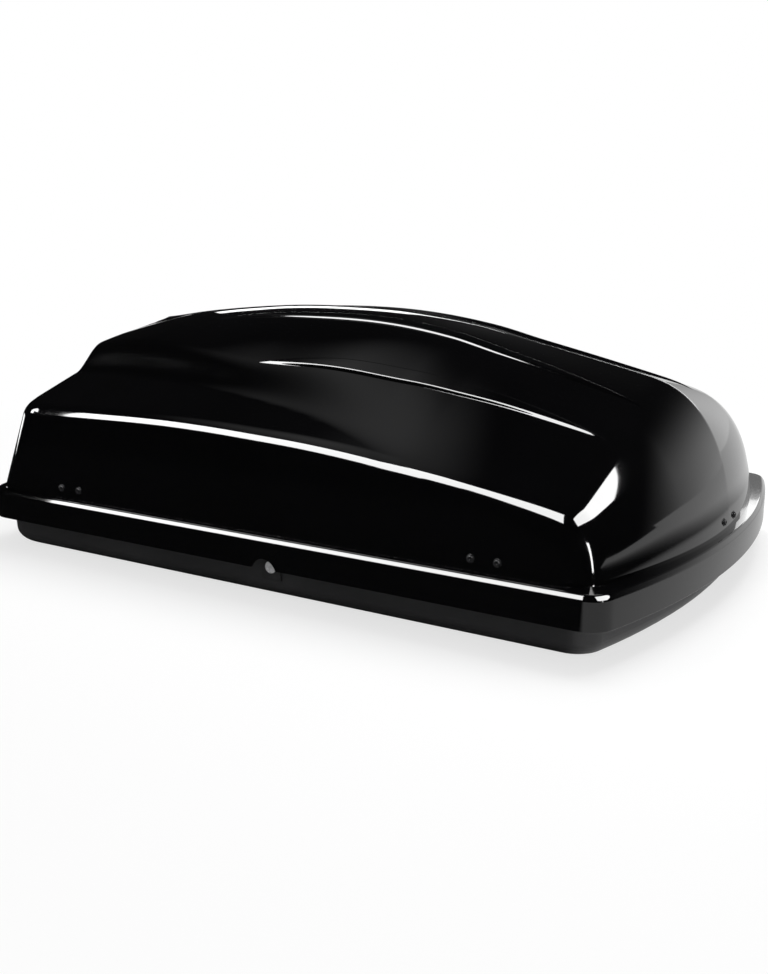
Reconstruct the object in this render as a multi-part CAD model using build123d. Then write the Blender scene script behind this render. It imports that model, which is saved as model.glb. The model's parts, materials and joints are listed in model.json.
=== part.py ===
from build123d import *
import functools
import math
import os

# Roof cargo box, side opening, in millimetres.
# X runs forwards to the nose, Y to the vehicle's left and Z up.
# The origin is at the middle of the box, on the plane that its underside rests on.

# ---- overall form ----
length = 1400.0            # over the lid rim
width = 900.0              # over the lid rim
front_bow = 74.0           # how far the nose edge of the rim arcs forwards
rear_bow = 16.0            # the same at the tail
front_corner = 46.0        # plan corner radii of the rim
rear_corner = 60.0
lid_wall = 4.0             # thermoformed sheet
base_wall = 4.0

# ---- lid rim ----
skirt_bottom = 59.0        # lower edge of the lid skirt
rim_top = 115.0            # shelf on top of the rim
rim_round = 9.0
shelf = 21.0               # from the rim's face to the foot of the lid's wall

# ---- lid walls above the rim ----
side_lean = 8.0            # degrees from upright
rear_lean = 17.5
tail_corner = 34.0         # upright corner at the tail
shoulder_round = 24.0      # along the top of the side walls
edge_steepness = 0.94      # share of a quarter turn that the rounding takes up
nose_bow = 50.0            # the nose wall's own sweep back
nose_round = 46.0          # upright corners beside the nose
nose_lean = 5.0            # the skin stands this far proud at the skirt's lower edge
nose_fullness = 2.6        # 2 is an ellipse, more is squarer
nose_start = 525.0         # where the roof starts to curl down on the centre line
nose_start_side = 553.0    # the same at the side walls

# ---- roof stations: (x, value) ----
crown = [(-700, 372), (-600, 404), (-470, 437), (-281, 458), (-130, 463), (40, 457),
         (189, 437), (289, 408), (433, 364), (576, 322), (660, 297)]
crown_curve = [(-700, 0.0004), (-600, 0.0005), (-470, 0.0009), (-281, 0.0013), (-130, 0.0014),
               (50, 0.00124), (174, 0.00115), (272, 0.0009), (401, 0.0006), (660, 0.0004)]
shoulder = [(-700, 274), (-584, 279), (-439, 284), (-267, 288), (-148, 287), (-35, 283), (71, 278),
            (172, 270), (249, 261), (323, 249), (413, 232), (498, 214), (551, 201), (640, 178)]
step_foot = [(-700, 246), (-476, 250), (-254, 274), (-125, 288), (54, 305), (179, 322),
             (286, 336), (403, 345), (640, 347)]
step_steepness = [(-700, 2.2), (-476, 2.1), (-125, 2.1), (54, 1.6), (179, 1.3), (286, 1.1),
                  (403, 0.95), (640, 0.8)]
foot_blend = [(-700, 24), (-100, 30), (200, 55), (400, 85), (640, 110)]   # softness of its foot
ledge_slope = 0.35
crown_blend = 46.0         # softness of the roof's outer edge

# ---- ribs on the roof: (x0, y0, x1, y1) of each one's tips on the right half ----
rib_height = 5.0
rib_tip = 0.5              # height left at its pointed tips
rib_width = 36.0
outer_rib = (-140.0, 256.0, 560.0, 222.0)
inner_rib = (-365.0, 108.0, 585.0, 126.0)

# ---- base tray ----
flange_top = 98.0
flange_inset = 15.0        # from the rim's face to the flange's edge
tray_inset = 24.0          # from the rim's face to the tray's right wall, under the flange
tray_inset_nose = 32.0
tray_inset_tail = 32.0
tray_inset_left = 44.0     # leaves room for the lid's skirt to swing in below the hinges
tray_taper = 2.0           # the wall stands this much further in above the bottom radius
tray_corner = 44.0
tray_left_corner = 100.0
bottom_round = 32.0

# ---- hinges along the left side ----
pivot_inset = 12.0         # from the rim's face to the pivot
pivot_drop = 11.0          # from the top of the rim to the pivot
knuckle_radius = 4.5
hinge_pin_radius = 2.5
hinge_pin_play = 0.05
hinge_leaf = 2.5           # sheet thickness
hinge_width = 54.0
knuckle_width = 18.0
knuckle_gap = 0.4
hinge_stations = {"rear": -320.0, "middle": 10.0, "front": 340.0}
rivet_radius = 2.5
rivet_head_radius = 4.5
rivet_head = 1.5
leaf_rivet_offset = 18.0

# ---- lid fasteners ----
screw_height = 134.0
screw_spacing = 46.0
screw_radius = 2.5
screw_hole_radius = 2.7
screw_head_radius = 5.0
screw_head = 2.8
washer_radius = 7.0
washer = 1.2
nut_radius = 4.6
nut = 3.5
flat_depth = 0.35          # flats sunk in the curved end walls for washers and nuts
flat_play = 0.3
end_screw_spacing = 56.0

# ---- lid stiffening and latching ----
brace_stations = {"rear": -463.0, "front": 429.0}
brace_width = 60.0
brace = 3.0
seat_gap = 0.15            # between a fitted plate and the formed shell
catch_plate = 2.5
catch_offset = 12.0        # from the brace's middle to the catch's leg
catch_window = (84.0, 93.0)
catch_reach = 6.5          # how far the catch's leg reaches past the hook on each side

# ---- lock in the middle of the right side ----
lock_x = 20.0
lock_z = 57.0
lock_radius = 9.0
lock_play = 0.05
lock_ring_radius = 11.0
lock_ring = 3.2
housing_radius = 20.0
housing_drop = 2.0         # centre of the housing's round top below the lock
housing_foot = 34.0        # height of its lower edge
housing_setback = 22.0      # its face behind the lid's rim
notch_radius = 25.0        # cut-out in the lid skirt above the housing
notch_drop = 5.0
key_slot = (1.6, 7.0, 3.0)
cam = 2.5
cam_setback = 1.5          # from the tray's wall to the cam
cam_arm = 11.3
cam_pin_radius = 2.5
latch_travel = 16.0
bar = 3.0
bar_height = 22.0
bar_rise = -1.0            # lower edge of the bar above the lock's axis
bar_gap = 1.5
slot_play = 0.45
guide_stations = {"rear": -300.0, "middle": -80.0, "front": 250.0}
guide_width = 24.0
guide_play = 0.3
hook = 3.0

# ---- seal ----
seal_inset = 16.5
seal_width = 7.0
seal_gap = 0.3

# ---- lid stays ----
stay_foot = (300.0, 25.0)  # (y, z) of the lower pivot
stay_head = (380.0, 185.0) # (y, z) of the upper pivot, lid closed
stay_plane_offset = 50.0   # from the brace's middle to the stay's plane
stay_stud_radius = 4.0
stay_play = 0.05
stay_tube_radius = 9.0
stay_bore = 7.0
stay_rod_radius = 4.0
stay_tube_length = 122.0
stay_head_play = 5.4       # room in the upper eye for the stay's slight change of line
stay_plate = 2.5

# ---- roof rack rails ----
rail_y = 300.0
rail_width = 46.0
rail_sheet = 2.5
rail_edge = 8.0
rail_length = 860.0
bar_stations = {"rear": -300.0, "front": 300.0}
clamp_leg_spacing = 90.0
clamp_slot_length = 62.0
clamp_slot_width = 8.5
rail_rivets = (-410.0, -205.0, 0.0, 205.0, 410.0)
rail_rivet_radius = 3.0

pivot_y = width / 2 - pivot_inset
pivot_z = rim_top - pivot_drop


def at_station(stations, x):
    """Smooth value at x through (x, value) stations, straight beyond the ends."""
    last = len(stations) - 1

    def slope(k):
        low = stations[max(k - 1, 0)]
        high = stations[min(k + 1, last)]
        return (high[1] - low[1]) / (high[0] - low[0])

    if x <= stations[0][0]:
        return stations[0][1] + slope(0) * (x - stations[0][0])
    if x >= stations[last][0]:
        return stations[last][1] + slope(last) * (x - stations[last][0])
    k = max(i for i in range(last) if stations[i][0] <= x)
    (x0, v0), (x1, v1) = stations[k], stations[k + 1]
    h = x1 - x0
    t = (x - x0) / h
    hermite_0 = (2 * t**3 - 3 * t**2 + 1) * v0 + (t**3 - 2 * t**2 + t) * h * slope(k)
    hermite_1 = (3 * t**2 - 2 * t**3) * v1 + (t**3 - t**2) * h * slope(k + 1)
    return hermite_0 + hermite_1


def soft_min(a, b, blend):
    """The lower of two heights, rounded where they cross."""
    return min(a, b) - max(blend - abs(a - b), 0) ** 2 / (4 * blend)


def soft_max(a, b, blend):
    return -soft_min(-a, -b, blend)


def side_wall_y(z):
    """Half width of the lid's outer wall at height z."""
    return width / 2 - shelf - (z - rim_top) * math.tan(math.radians(side_lean))


def tail_wall_x(z):
    """Where the lid's outer tail wall stands on the centre line at height z."""
    return shelf - length / 2 + (z - rim_top) * math.tan(math.radians(rear_lean))


def edge_drop(distance, radius):
    """How far a rounded edge has fallen at this distance inside it."""
    reach = edge_steepness * (radius - distance)
    if distance >= radius:
        return 0.0
    if distance <= 0:
        steep = edge_steepness**2 / math.sqrt(1 - edge_steepness**2)
        return radius * (1 - math.sqrt(1 - edge_steepness**2)) - distance * steep
    return radius - math.sqrt(radius**2 - reach**2)


def wall_reach(x):
    """Half width of the lid where its side wall meets the shoulder."""
    return side_wall_y(at_station(shoulder, x))


def crowned_height(x, y):
    """Roof before its edges are rounded: a dome, a step at its foot and a ledge out to the walls."""
    across = abs(y)
    edge = at_station(shoulder, x)
    foot = at_station(step_foot, x)
    ledge = edge + ledge_slope * (wall_reach(x) - across)
    foot_height = edge + ledge_slope * (wall_reach(x) - foot)
    step = foot_height + at_station(step_steepness, x) * (foot - across)
    dome = at_station(crown, x) - at_station(crown_curve, x) * y * y
    return soft_max(ledge, soft_min(dome, step, crown_blend), at_station(foot_blend, x))


def roof(x, share):
    """Outer roof at x, share of the way from the centre line to the side wall, edges rounded."""
    y = share * wall_reach(x)
    side_drop = edge_drop((1 - abs(share)) * width / 2, shoulder_round)
    return Vector(x, y, crowned_height(x, y) - side_drop)


def nose_limits(share):
    """Where the roof starts to curl down, and the furthest point of the nose wall."""
    start = nose_start + (nose_start_side - nose_start) * share**2
    corner = edge_drop(max(1 - abs(share), -0.012) * width / 2, nose_round)
    tip = length / 2 - shelf + nose_lean - nose_bow * share**2 - corner
    return start, tip


def nose(turn, share):
    """Outer nose, turn running from 0 at the roof to 1 at the foot of the nose wall."""
    start, tip = nose_limits(share)
    power = 2 / nose_fullness
    x = start + (tip - start) * math.sin(turn * math.pi / 2) ** power
    fall = math.cos(turn * math.pi / 2) ** power
    wall = side_wall_y(skirt_bottom + (at_station(shoulder, x) - skirt_bottom) * fall)
    return Vector(x, share * wall, skirt_bottom + (roof(x, share).Z - skirt_bottom) * fall)


def sunk_point(surface, along, share, step, depth):
    """Point of a surface moved inwards by depth along its normal."""
    p = surface(along, share)
    forwards = p - surface(along - step, share)
    sideways = surface(along, share + 0.0005) - p
    return p - forwards.cross(sideways).normalized() * depth


def skin_rows(depth):
    """Rows of points on the skin. The depth may be a size or a function of x."""
    depth_at = depth if callable(depth) else lambda x: depth
    half = [0, 0.14, 0.27, 0.38, 0.48, 0.56, 0.62, 0.67, 0.72, 0.77, 0.83, 0.89, 0.92, 0.945,
            0.965, 0.983, 1.0, 1.025, 1.05, 1.08]
    rows = []
    for share in [-h for h in half[:0:-1]] + half:
        row = []
        start = nose_limits(share)[0]
        xs = [start + (i / 24 - 1) * (start + length / 2) for i in range(25)]
        for x in xs:
            row.append(sunk_point(roof, x, share, 0.05, depth_at(x)))
        for j in range(1, 13):
            turn = 0.999 * (j / 12) ** 0.8
            row.append(sunk_point(nose, turn, share, 0.001, depth_at(start)))
        rows.append(row)
    return rows


def under_skin(depth):
    """Everything below the skin, moved in by depth."""
    rows = skin_rows(depth)
    spread = [row[0].Y for row in rows]
    across = [(y - spread[0]) / (spread[-1] - spread[0]) for y in spread]
    sections = []
    for j in range(len(rows[0])):
        points = [row[j] for row in rows]
        sections.append(Wire([Edge.make_spline(points, parameters=across)]))
    skin = Shell.make_loft(sections).faces()[0]
    return Solid.extrude(skin, Vector(0, 0, -1.5 * length))


def slab(x0, x1, y0, y1, z0, z1):
    """Box between two corners."""
    middle = Pos((x0 + x1) / 2, (y0 + y1) / 2, (z0 + z1) / 2)
    return middle * Box(x1 - x0, y1 - y0, z1 - z0)


def rim_outline(inset, z, nose_inset=None, tail_inset=None, left_inset=None, left_corner=None, tightest=12.0):
    """Plan of the box at height z, inset from the lid rim's outer face."""
    nose = length / 2 - (inset if nose_inset is None else nose_inset)
    tail = length / 2 - (inset if tail_inset is None else tail_inset)
    right = width / 2 - inset
    left = width / 2 - (inset if left_inset is None else left_inset)
    share = (right / (width / 2)) ** 2
    left_share = (left / (width / 2)) ** 2
    nose_right = (nose - front_bow * share, -right)
    nose_left = (nose - front_bow * left_share, left)
    tail_left = (rear_bow * left_share - tail, left)
    tail_right = (rear_bow * share - tail, -right)
    edges = [ThreePointArc(nose_right, (nose, 0), nose_left), Line(nose_left, tail_left),
             ThreePointArc(tail_left, (-tail, 0), tail_right), Line(tail_right, nose_right)]
    face = make_face(edges)
    for corner, radius in ((nose_right, front_corner - inset), (nose_left, left_corner or front_corner - inset),
                           (tail_right, rear_corner - inset), (tail_left, left_corner or rear_corner - inset)):
        vertex = face.vertices().sort_by_distance((*corner, 0))[0]
        face = fillet(vertex, max(radius, tightest))
    return Pos(0, 0, z) * face


def wall_plan(depth, z):
    """Plan of the lid's side and tail walls at height z, running on past the nose."""
    half = side_wall_y(z) - depth / math.cos(math.radians(side_lean))
    tail = tail_wall_x(z) + depth / math.cos(math.radians(rear_lean))
    bow = rear_bow * (half / (width / 2)) ** 2
    edges = [Line((length, -half), (length, half)), Line((length, half), (tail + bow, half)),
             ThreePointArc((tail + bow, half), (tail, 0), (tail + bow, -half)),
             Line((tail + bow, -half), (length, -half))]
    face = make_face(edges)
    face = fillet([v for v in face.vertices() if v.X < 0], tail_corner - depth)
    return Pos(0, 0, z) * face


@functools.cache
def lid_form(depth):
    """The lid without its rim as one filled form, moved in by depth."""
    walls = loft([wall_plan(depth, skirt_bottom), wall_plan(depth, rim_top + width / 2)], ruled=True)
    return walls & under_skin(depth)


def lid_body(depth, foot):
    """The filled lid form from height foot up."""
    return lid_form(depth) & slab(-length, length, -width, width, foot, length)


def ribs():
    """The four raised ribs, fading out at their tips, as fillets of the raised skin."""
    made = []
    for x0, y0, x1, y1 in (outer_rib, inner_rib):
        middle = (x0 + x1) / 2
        half = (x1 - x0) / 2

        def raised(x):
            return -rib_tip - (rib_height - rib_tip) * (1 - min(abs(x - middle) / half, 1) ** 2)

        top = under_skin(raised)
        for side in (-1, 1):
            centre = ((x0 + x1) / 2, side * (y0 + y1) / 2)
            tips = (x0, side * y0), (x1, side * y1)
            near = (centre[0], centre[1] - rib_width / 2)
            far = (centre[0], centre[1] + rib_width / 2)
            plan = make_face([ThreePointArc(tips[0], near, tips[1]), ThreePointArc(tips[1], far, tips[0])])
            made.append((Pos(0, 0, rim_top + width / 8) * extrude(plan, width)) & top)
    return made


def rod(start, end, radius):
    """Round bar between two points."""
    start = Vector(start)
    axis = Vector(end) - start
    plane = Plane(origin=start, z_dir=axis)
    return plane * Cylinder(radius, axis.length, align=(Align.CENTER, Align.CENTER, Align.MIN))


def side_normal(side):
    lean = math.radians(side_lean)
    return Vector(0, side * math.cos(lean), math.sin(lean))


def tail_screw_place(y):
    """Point and outward direction on the tail wall at the screws' height."""
    lean = math.radians(rear_lean)
    bow = rear_bow / (width / 2) ** 2
    normal = Vector(-math.cos(lean), 2 * bow * y, math.sin(lean)).normalized()
    return Vector(tail_wall_x(screw_height) + bow * y**2, y, screw_height), normal


def nose_screw_place(y):
    """Point and outward direction on the nose wall at the screws' height."""
    share = y / side_wall_y(screw_height)
    low, high = 0.5, 0.999
    for _ in range(30):
        turn = (low + high) / 2
        if nose(turn, share).Z > screw_height:
            low = turn
        else:
            high = turn
    p = nose(turn, share)
    return p, (sunk_point(nose, turn, share, 0.001, -1) - p).normalized()


@functools.cache
def screw_places():
    """Group name: list of (point on the outer surface, outward normal, thickness clamped)."""
    groups = {"right": [], "left": [], "nose": [], "tail": []}
    wall_y = side_wall_y(screw_height)
    for x in brace_stations.values():
        for offset in (-screw_spacing / 2, screw_spacing / 2):
            stack = lid_wall + seat_gap + brace
            groups["right"].append((Vector(x + offset, -wall_y, screw_height), side_normal(-1), stack + catch_plate))
            groups["left"].append((Vector(x + offset, wall_y, screw_height), side_normal(1), stack))
    for x in hinge_stations.values():
        for offset in (-leaf_rivet_offset, leaf_rivet_offset):
            point = Vector(x + offset, wall_y, screw_height)
            groups["left"].append((point, side_normal(1), lid_wall + seat_gap + hinge_leaf))
    for y in (-end_screw_spacing / 2, end_screw_spacing / 2):
        stack = lid_wall + seat_gap + catch_plate - 2 * flat_depth
        for name, (point, normal) in (("nose", nose_screw_place(y)), ("tail", tail_screw_place(y))):
            groups[name].append((point - normal * flat_depth, normal, stack))
    return groups


@functools.cache
def screw_holes():
    """Cutters for every lid screw, with flats for washer and nut on the curved end walls."""
    cutters = []
    for group in screw_places().values():
        for point, normal, stack in group:
            inner = point - normal * stack
            cutters.append(rod(point + normal * 12, inner - normal * 3, screw_hole_radius))
            if abs(normal.X) > 0.5:
                cutters.append(rod(point, point + normal * 3, washer_radius + flat_play))
                cutters.append(rod(inner, inner - normal * 2, nut_radius + flat_play))
    return cutters


def lid_screws(group):
    """Pan head screws with their washers and nuts."""
    made = []
    for point, normal, stack in group:
        seat = point + normal * washer
        collar = rod(point, seat, washer_radius) - rod(point - normal, seat + normal, screw_hole_radius)
        shank = rod(seat + normal, point - normal * (stack + nut + 1), screw_radius)
        head = rod(seat, seat + normal * screw_head, screw_head_radius)
        head = fillet(head.edges().filter_by(GeomType.CIRCLE).sort_by(lambda e: e.center().dot(normal))[-1], 1.6)
        inner = point - normal * stack
        fixing = rod(inner, inner - normal * nut, nut_radius)
        made += [collar, shank + head + fixing]
    return made


def notch():
    """Round cut-out in the lid skirt over the lock housing."""
    centre = Vector(lock_x, -width, lock_z - notch_drop)
    return rod(centre, centre + Vector(0, width / 2 + lid_wall * 3, 0), notch_radius) & slab(
        lock_x - width, lock_x + width, -width, 0, 0, rim_top - rim_round - lid_wall)


def lid_shell():
    rim = extrude(rim_outline(0, skirt_bottom), rim_top - skirt_bottom)
    rim = fillet(rim.faces().sort_by(Axis.Z)[-1].edges(), rim_round)
    outer = rim + lid_body(0, rim_top - rim_round) + ribs()
    cavity_top = rim_top - lid_wall
    cavity = extrude(rim_outline(lid_wall, skirt_bottom - 1), cavity_top - skirt_bottom + 1)
    shell = outer - cavity - lid_body(lid_wall, cavity_top - 1) - notch()
    return shell - screw_holes()


def shell_slice(outer_depth, thickness, window):
    """Sheet that follows the lid's inside at a depth, within a window."""
    return (lid_body(outer_depth, window_foot(window)) & window) - lid_body(outer_depth + thickness, skirt_bottom)


def window_foot(window):
    return window.bounding_box().min.Z - 5


def cross_brace(x):
    """Strap under the roof from one side wall to the other."""
    window = slab(x - brace_width / 2, x + brace_width / 2, -width, width, rim_top + 1, width)
    return shell_slice(lid_wall + seat_gap, brace, window) - screw_holes()


def wall_sheet(side, depth, thickness, x0, x1, z0, z1):
    """Flat plate against the lid's leaning side wall."""
    lean = math.tan(math.radians(side_lean))
    slope = math.cos(math.radians(side_lean))

    def y_at(z, d):
        return side * (side_wall_y(z) - d / slope)

    outline = [(y_at(z0, depth), z0), (y_at(z1, depth), z1),
               (y_at(z1, depth + thickness), z1), (y_at(z0, depth + thickness), z0)]
    face = Plane.YZ * make_face(Polyline(*outline, close=True))
    return Pos(x0, 0, 0) * extrude(face, x1 - x0)


def catch(x):
    """Plate on the lid with a window that the latch hook enters."""
    depth = lid_wall + seat_gap + brace
    half = brace_width / 2
    foot = wall_sheet(-1, depth, catch_plate, x - half, x + half, rim_top + 1, screw_height + 14)
    leg_x = x + catch_offset
    leg_outer = hook_plane() - catch_reach
    hook_y = hook_plane() + hook / 2
    arm = slab(leg_x, leg_x + catch_plate, -width / 2 + shelf, hook_y + catch_reach, rim_top + 1, screw_height - 8)
    arm = arm & wall_prism(depth)
    leg = slab(leg_x, leg_x + catch_plate, leg_outer, hook_y + catch_reach, catch_window[0] - 5, rim_top + 2)
    window = slab(leg_x - 1, leg_x + catch_plate + 1, hook_y - 3.5, hook_y + 3.5, *catch_window)
    return foot + arm + leg - window - screw_holes()


def wall_prism(depth):
    """The space inside the lid's side walls at a depth."""
    z0, z1 = skirt_bottom, rim_top + width / 4
    slope = math.cos(math.radians(side_lean))
    half_0, half_1 = (side_wall_y(z) - depth / slope for z in (z0, z1))
    face = Plane.YZ * make_face(Polyline((-half_0, z0), (half_0, z0), (half_1, z1), (-half_1, z1), close=True))
    return Pos(-length / 2, 0, 0) * extrude(face, length)


def end_locator(nose_end):
    """Plate behind the end wall with a tongue that keeps the rims in line."""
    depth = lid_wall + seat_gap
    half = end_screw_spacing / 2 + 14
    if nose_end:
        window = slab(length / 4, length, -half, half, rim_top + 1, screw_height + 16)
        tongue_x = length / 2 - tray_inset_nose - base_wall - 2 * catch_plate
        wall_x = nose(0.9, 0).X - depth - 1
    else:
        window = slab(-length, -length / 4, -half, half, rim_top + 1, screw_height + 16)
        tongue_x = -(length / 2 - tray_inset_tail - base_wall - 2 * catch_plate)
        wall_x = tail_wall_x(rim_top) + depth + 1
    plate = shell_slice(depth, catch_plate, window)
    x0, x1 = sorted((tongue_x, wall_x))
    shelf_plate = slab(x0, x1, -half, half, rim_top + 1, rim_top + 1 + catch_plate) & lid_body(depth, skirt_bottom)
    tongue = slab(tongue_x - catch_plate / 2, tongue_x + catch_plate / 2, -end_screw_spacing / 2,
                  end_screw_spacing / 2, flange_top - 20, rim_top + 1 + catch_plate)
    return plate + shelf_plate + tongue - screw_holes()


def tray_section(inset, z, corner):
    """Plan of the tray at height z, inset from its outline under the flange."""
    return rim_outline(tray_inset + inset, z, tray_inset_nose + inset, tray_inset_tail + inset,
                       tray_inset_left + inset, tray_left_corner - inset, corner)


def tray_form(depth):
    """The tray's outer form moved in by depth, running past the flange when depth is set."""
    sections = []
    radius = bottom_round - depth
    for step in range(9):
        angle = step * math.pi / 16
        pull = tray_taper + radius * (1 - math.sin(angle)) + depth
        sections.append(tray_section(pull, depth + radius * (1 - math.cos(angle)), tray_corner - depth))
    top = flange_top + (1 if depth else 0)
    sections.append(tray_section(depth, top, tray_corner - depth))
    return loft(sections, ruled=True)


def tray_wall_y(z, depth):
    """Distance from the middle to the tray's right wall at height z, above the bottom radius."""
    rise = (z - bottom_round) / (flange_top - bottom_round)
    return width / 2 - tray_inset - depth - tray_taper * (1 - rise)


def clamp_slots(z0, z1):
    """Cutters for the roof bar clamp's legs."""
    cutters = []
    for x in bar_stations.values():
        for side in (-1, 1):
            for leg in (-0.5, 0.5):
                slot = SlotOverall(clamp_slot_length, clamp_slot_width)
                place = Pos(x + leg * clamp_leg_spacing, side * rail_y, z0)
                cutters.append(place * extrude(slot, z1 - z0))
    return cutters


def rail_rivet_places():
    return [(x, side * rail_y) for x in rail_rivets for side in (-1, 1)]


def base_tray():
    flange = extrude(rim_outline(flange_inset, flange_top - base_wall), base_wall)
    tray = tray_form(0) + flange - tray_form(base_wall)
    tray -= clamp_slots(-1, base_wall + 1)
    tray -= [Pos(x, y, 0) * Cylinder(rail_rivet_radius, 4 * base_wall) for x, y in rail_rivet_places()]
    tray -= rod((lock_x, -width / 2, lock_z), (lock_x, -width / 3, lock_z), lock_radius + 1)
    tray -= [rod((x + offset, rivet_y(), flange_top - 9), (x + offset, rivet_y(), flange_top + 1), rivet_radius)
             for x in hinge_stations.values() for offset in (-leaf_rivet_offset, leaf_rivet_offset)]
    return tray


def rail(side):
    """Steel channel on the tray's floor that the roof bar clamps pull against."""
    half = rail_width / 2
    floor = base_wall
    body = slab(-rail_length / 2, rail_length / 2, side * rail_y - half, side * rail_y + half, floor, floor + rail_edge)
    inside = slab(-length, length, side * rail_y - half + rail_sheet, side * rail_y + half - rail_sheet,
                  floor + rail_sheet, floor + rail_edge + 1)
    body = body - inside - clamp_slots(0, floor + rail_edge)
    return body - [Pos(x, y, floor) * Cylinder(rail_rivet_radius, 4 * rail_edge) for x, y in rail_rivet_places()]


def rail_rivet_set():
    seat = base_wall + rail_sheet
    return [rod((x, y, 0), (x, y, seat + 1), rail_rivet_radius)
            + rod((x, y, seat), (x, y, seat + 2), 2 * rail_rivet_radius) for x, y in rail_rivet_places()]


def seal():
    """Soft strip on the flange along the nose, the right side and the tail."""
    height = rim_top - lid_wall - seal_gap - flange_top
    ring = extrude(rim_outline(seal_inset, flange_top), height)
    ring -= extrude(rim_outline(seal_inset + seal_width, flange_top - 1), height + 2)
    return ring & slab(-length, length, -width, pivot_y - 40, 0, width)


def rivet_y():
    return pivot_y - 20


def hinge_base_leaf(x):
    knuckles = []
    reach = knuckle_width / 2 + knuckle_gap
    for x0, x1 in ((x - hinge_width / 2, x - reach), (x + reach, x + hinge_width / 2)):
        knuckles.append(rod((x0, pivot_y, pivot_z), (x1, pivot_y, pivot_z), knuckle_radius))
    plate = slab(x - hinge_width / 2, x + hinge_width / 2, rivet_y() - 9, pivot_y, flange_top, flange_top + hinge_leaf)
    plate -= slab(x - reach, x + reach, pivot_y - knuckle_radius - 0.8, width, 0, width)
    leaf = plate + knuckles
    leaf -= rod((x - width, pivot_y, pivot_z), (x + width, pivot_y, pivot_z), hinge_pin_radius + hinge_pin_play)
    return leaf - [rod((x + offset, rivet_y(), 0), (x + offset, rivet_y(), width), rivet_radius)
                   for offset in (-leaf_rivet_offset, leaf_rivet_offset)]


def hinge_rivets():
    made = []
    top = flange_top + hinge_leaf
    bottom = flange_top - base_wall
    for x in hinge_stations.values():
        for offset in (-leaf_rivet_offset, leaf_rivet_offset):
            place = (x + offset, rivet_y())
            shank = rod((*place, bottom - rivet_head), (*place, top + rivet_head), rivet_radius)
            heads = [rod((*place, top), (*place, top + rivet_head), rivet_head_radius),
                     rod((*place, bottom - rivet_head), (*place, bottom), rivet_head_radius)]
            made.append(shank + heads)
    return made


def hinge_lid_leaf(x):
    half = hinge_width / 2 - 1
    depth = lid_wall + seat_gap
    top = pivot_z + knuckle_radius
    knuckle = rod((x - knuckle_width / 2, pivot_y, pivot_z), (x + knuckle_width / 2, pivot_y, pivot_z), knuckle_radius)
    strap = slab(x - knuckle_width / 2, x + knuckle_width / 2, pivot_y - 10, pivot_y, top - hinge_leaf, top)
    wall_y = side_wall_y(rim_top) - depth - hinge_leaf
    plate = slab(x - half, x + half, wall_y - 1, pivot_y - knuckle_radius - 0.8, top - hinge_leaf, top)
    upright = wall_sheet(1, depth, hinge_leaf, x - half, x + half, top - hinge_leaf, screw_height + 14)
    leaf = knuckle + strap + plate + upright
    leaf -= rod((x - width, pivot_y, pivot_z), (x + width, pivot_y, pivot_z), hinge_pin_radius + hinge_pin_play)
    return leaf - screw_holes()


def hinge_pin(x):
    half = hinge_width / 2
    pin = rod((x - half, pivot_y, pivot_z), (x + half, pivot_y, pivot_z), hinge_pin_radius)
    heads = [rod((x + side * half, pivot_y, pivot_z), (x + side * (half + 1.5), pivot_y, pivot_z), 1.5 * hinge_pin_radius)
             for side in (-1, 1)]
    return pin + heads


def lock_housing():
    """Moulded boss on the tray's side that carries the lock."""
    face_y = housing_setback - width / 2
    back_y = -tray_wall_y(lock_z, 0) + 12
    centre_z = lock_z - housing_drop
    body = rod((lock_x, face_y, centre_z), (lock_x, back_y, centre_z), housing_radius)
    body += slab(lock_x - housing_radius, lock_x + housing_radius, face_y, back_y, housing_foot, centre_z)
    body -= tray_form(0)
    body = body.solids().sort_by(SortBy.VOLUME)[-1]
    return body - rod((lock_x, -width, lock_z), (lock_x, 0, lock_z), lock_radius + lock_play)


def lock_bezel():
    face_y = housing_setback - width / 2
    ring = rod((lock_x, face_y - lock_ring, lock_z), (lock_x, face_y, lock_z), lock_ring_radius)
    front = ring.edges().filter_by(GeomType.CIRCLE).sort_by(Axis.Y)[0]
    ring = fillet(front, 1.4)
    return ring - rod((lock_x, -width, lock_z), (lock_x, 0, lock_z), lock_radius + lock_play)


def cam_plane():
    """Outer face of the cam, inside the tray's wall."""
    return -tray_wall_y(lock_z, base_wall) + cam_setback


def bar_plane():
    return cam_plane() + cam + bar_gap


def hook_plane():
    return bar_plane() + bar


def lock_barrel():
    face_y = housing_setback - width / 2 - lock_ring + 0.6
    barrel = rod((lock_x, face_y, lock_z), (lock_x, cam_plane(), lock_z), lock_radius)
    w, h, deep = key_slot
    return barrel - slab(lock_x - w / 2, lock_x + w / 2, face_y - 1, face_y + deep, lock_z - h / 2, lock_z + h / 2)


def cam_pin_place(turned):
    """Cam pin's centre, the arm standing this far from upright."""
    angle = math.radians(turned)
    return lock_x + cam_arm * math.sin(angle), lock_z + cam_arm * math.cos(angle)


def lock_cam():
    x, z = cam_pin_place(-45)
    y = cam_plane()
    arm = rod((lock_x, y, lock_z), (lock_x, y + cam, lock_z), lock_radius - 1)
    arm += rod((x, y, z), (x, y + cam, z), cam_pin_radius + 2)
    pin = rod((x, y, z), (x, y + cam + bar_gap + bar + 1, z), cam_pin_radius)
    return arm + pin


def bar_slab(play, x0, x1):
    low = lock_z + bar_rise
    return slab(x0, x1, bar_plane() - play, bar_plane() + bar + play, low - play, low + bar_height + play)


def lock_bar():
    x0 = brace_stations["rear"] - 32
    x1 = brace_stations["front"] + 2
    plate = bar_slab(0, x0, x1)
    pin_x, low = cam_pin_place(-45)
    half = cam_pin_radius + slot_play
    slot = slab(pin_x - half, pin_x + half, -width, 0, low - half, lock_z + cam_arm + half)
    return plate - slot


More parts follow.
